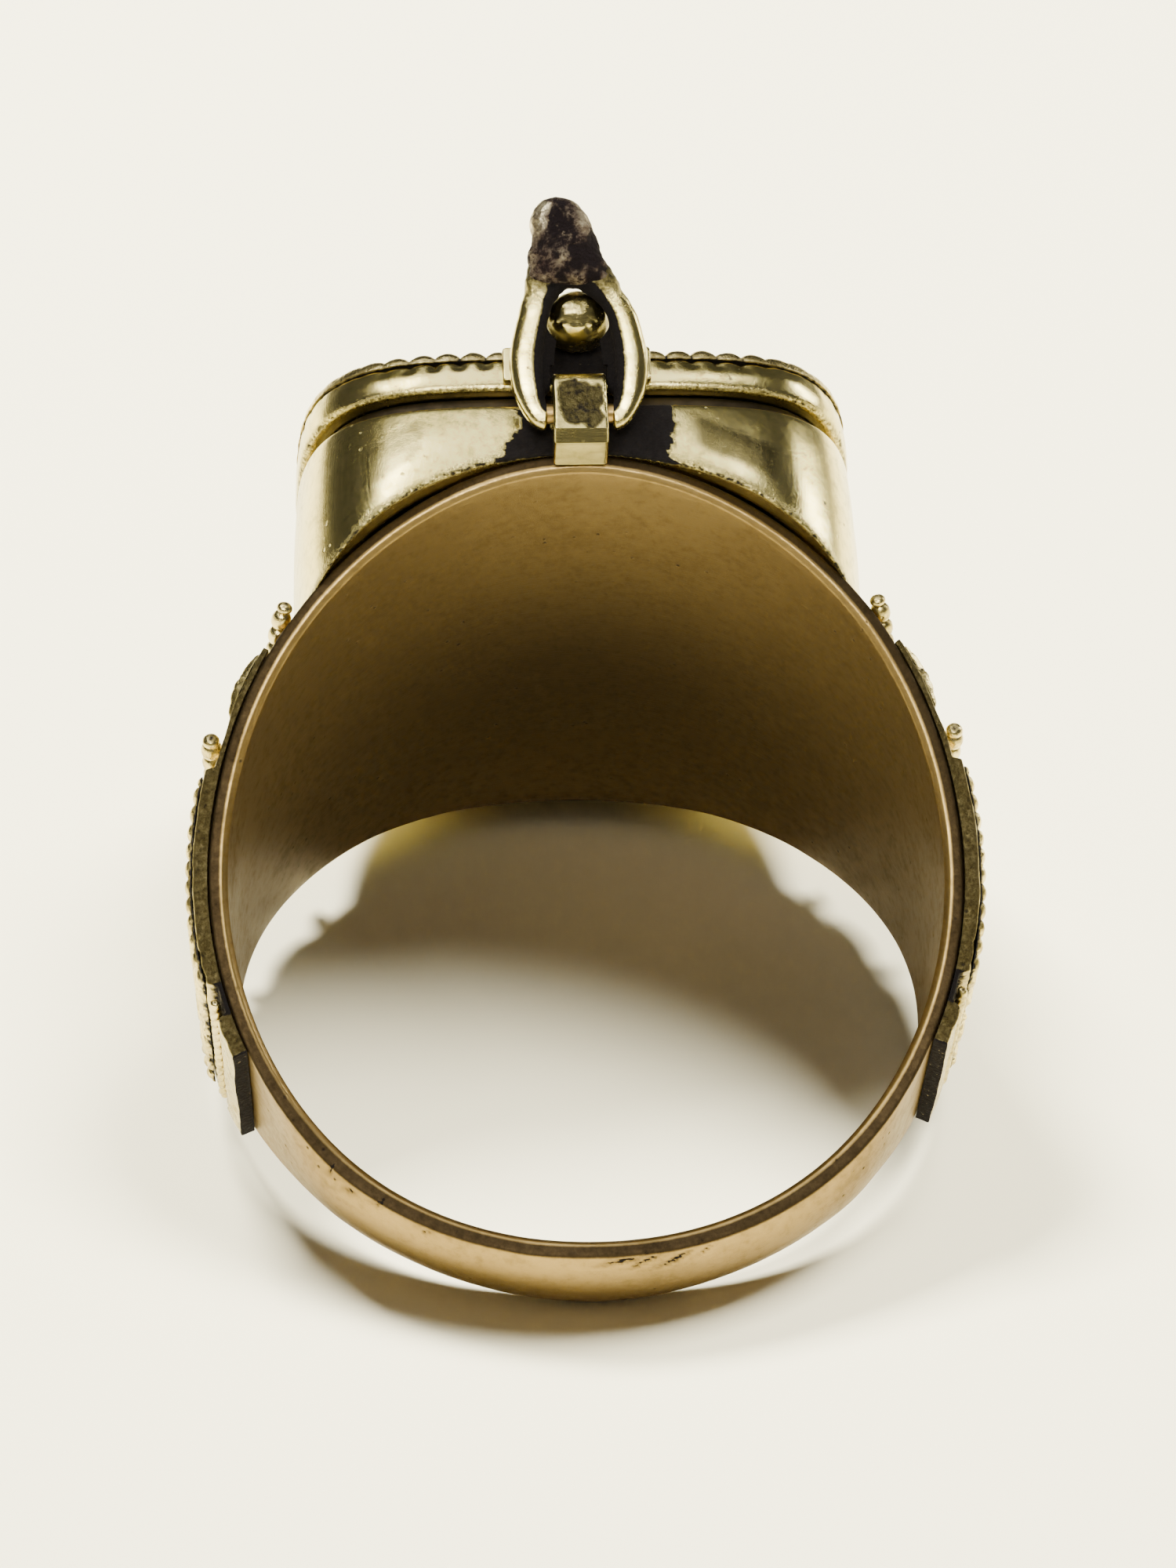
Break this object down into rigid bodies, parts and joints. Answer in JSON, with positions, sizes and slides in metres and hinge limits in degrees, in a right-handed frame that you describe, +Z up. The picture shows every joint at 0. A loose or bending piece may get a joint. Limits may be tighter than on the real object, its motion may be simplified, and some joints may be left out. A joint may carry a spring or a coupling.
{
  "type": "signet ring",
  "caption": "Brass box signet ring: saddle-cut compartment on the head with a hinged signet lid, closed by a swinging loop clasp over a ball stud; ornamented shoulders on a tapering band.",
  "frame": {"origin": "On the table under the middle of the object's bounding box, as the ring lies on its hinge side.", "axes": "+Z up from the table. +Y from the shank towards the head, along the table. +X to the right when facing the clasp from the shank side. The finger axis leans 23 degrees from vertical, its clasp end up."},
  "size_m": [0.0212, 0.0262, 0.0227],
  "materials": {
    "polished_brass": "polished, with darker olive mottling and fine scratches",
    "satin_brass": "satin, worn, with fine scratches and small pits",
    "antiqued_brass": "antiqued: bright high spots over blackened recesses",
    "fire_scaled_brass": "rough, with dark purplish fire scale",
    "dark_brass": "blackened",
    "signet_face": null
  },
  "bodies": {
    "band": {"box_wall": "polished_brass", "clasp_bracket": "polished_brass", "hinge_pin": "polished_brass", "hoop": "satin_brass", "hinge_knuckle_left": "satin_brass", "hinge_knuckle_right": "satin_brass", "clasp_pivot_pin": "satin_brass", "shoulder_left": "antiqued_brass", "shoulder_right": "antiqued_brass", "leaf_left": "antiqued_brass", "leaf_right": "antiqued_brass", "scroll_panel_left": "antiqued_brass", "scroll_panel_right": "antiqued_brass", "boss_wire_left": "antiqued_brass", "boss_wire_right": "antiqued_brass", "foot_wire_left": "antiqued_brass", "foot_wire_right": "antiqued_brass", "base_wire_left": "antiqued_brass", "base_wire_right": "antiqued_brass"},
    "lid": {"lid_cap": "polished_brass", "lid_flange": "dark_brass", "lid_knuckle": "satin_brass", "signet_plate": "signet_face", "beaded_border": "antiqued_brass", "catch_pad": "polished_brass", "catch_stud": "polished_brass"},
    "clasp": {"clasp_loop": "polished_brass", "thumb_nub": "fire_scaled_brass"}
  },
  "joints": [
    {"name": "lid_hinge", "type": "hinge", "parent": "band", "child": "lid", "pos_m": [0, 0.01211, 0.001], "axis": [-1, 0, 0], "range_deg": [0, 100]},
    {"name": "clasp_swing", "type": "hinge", "parent": "band", "child": "clasp", "pos_m": [0, 0.00284, 0.01825], "axis": [1, 0, 0], "range_deg": [0, 120]}
  ]
}
